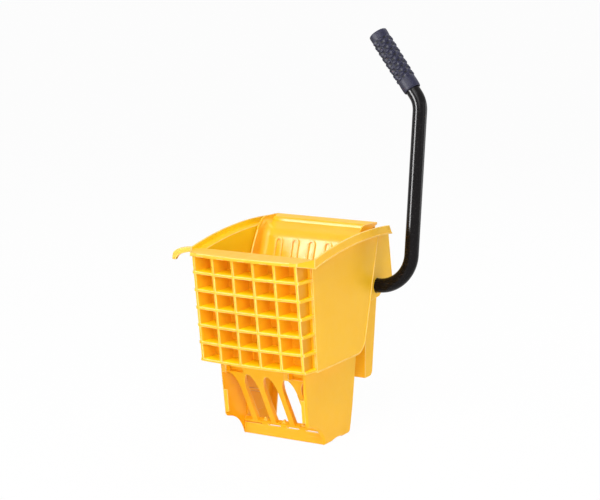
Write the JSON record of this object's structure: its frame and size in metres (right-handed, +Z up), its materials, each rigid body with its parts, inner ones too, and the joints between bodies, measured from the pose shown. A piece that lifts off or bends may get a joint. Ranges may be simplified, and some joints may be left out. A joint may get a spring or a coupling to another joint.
{
  "type": "side-press mop wringer",
  "caption": "Mop wringer: open-topped ribbed basket over a slotted chute, with a hinged press plate driven by a bent tube lever at its side.",
  "frame": {"origin": "on the floor, under the middle of the chute's foot lip, on the basket's middle plane", "axes": "+X to the right along the ribbed front, towards the handle; +Y from the ribbed front to the back; +Z up"},
  "size_m": [0.3392, 0.3527, 0.7051],
  "materials": {
    "yellow_plastic": "satin moulded yellow plastic",
    "black_tube": "glossy black powder coat on steel tube",
    "grip_rubber": "dark grey rubber with rows of small bumps",
    "nylon": "dark nylon",
    "steel": "plain zinc-coated steel",
    "bumper_rubber": "black rubber"
  },
  "bodies": {
    "basket": {"front_panel": "yellow_plastic", "left_side_panel": "yellow_plastic", "right_side_panel": "yellow_plastic", "bucket_hook": "yellow_plastic", "left_chute_wall": "yellow_plastic", "right_chute_wall": "yellow_plastic", "chute_grate": "yellow_plastic", "left_bracket": "yellow_plastic", "right_bracket": "yellow_plastic", "cross_bar": "yellow_plastic", "left_axle_bush": "nylon", "right_axle_bush": "nylon", "hinge_rod": "steel", "left_bracket_screws": "steel", "right_bracket_screws": "steel", "return_spring": "steel", "rest_bumpers": "bumper_rubber"},
    "handle": {"handle_tube": "black_tube", "grip": "grip_rubber", "left_crank_arm": "nylon", "right_crank_arm": "nylon", "crank_pins": "steel", "press_bar": "steel", "shaft_collar": "steel", "thrust_washers": "nylon", "axle_end_cap": "nylon"},
    "plate": {"press_plate": "yellow_plastic", "left_push_rail": "yellow_plastic", "right_push_rail": "yellow_plastic", "rail_screws": "steel"}
  },
  "joints": [
    {"name": "handle_turn", "type": "hinge", "parent": "basket", "child": "handle", "pos_m": [0, 0.144, 0.257], "axis": [1, 0, 0], "range_deg": [0, 100], "stiffness_Nm_per_rad": 1.5, "springref_deg": -20.05, "deforming": ["return_spring"]},
    {"name": "plate_swing", "type": "hinge", "parent": "basket", "child": "plate", "pos_m": [0, 0.041, 0.158], "axis": [1, 0, 0], "range_deg": [0, 40]}
  ],
  "couplings": [
    {"joint": "plate_swing", "follows": "handle_turn", "ratio": 0.4}
  ]
}
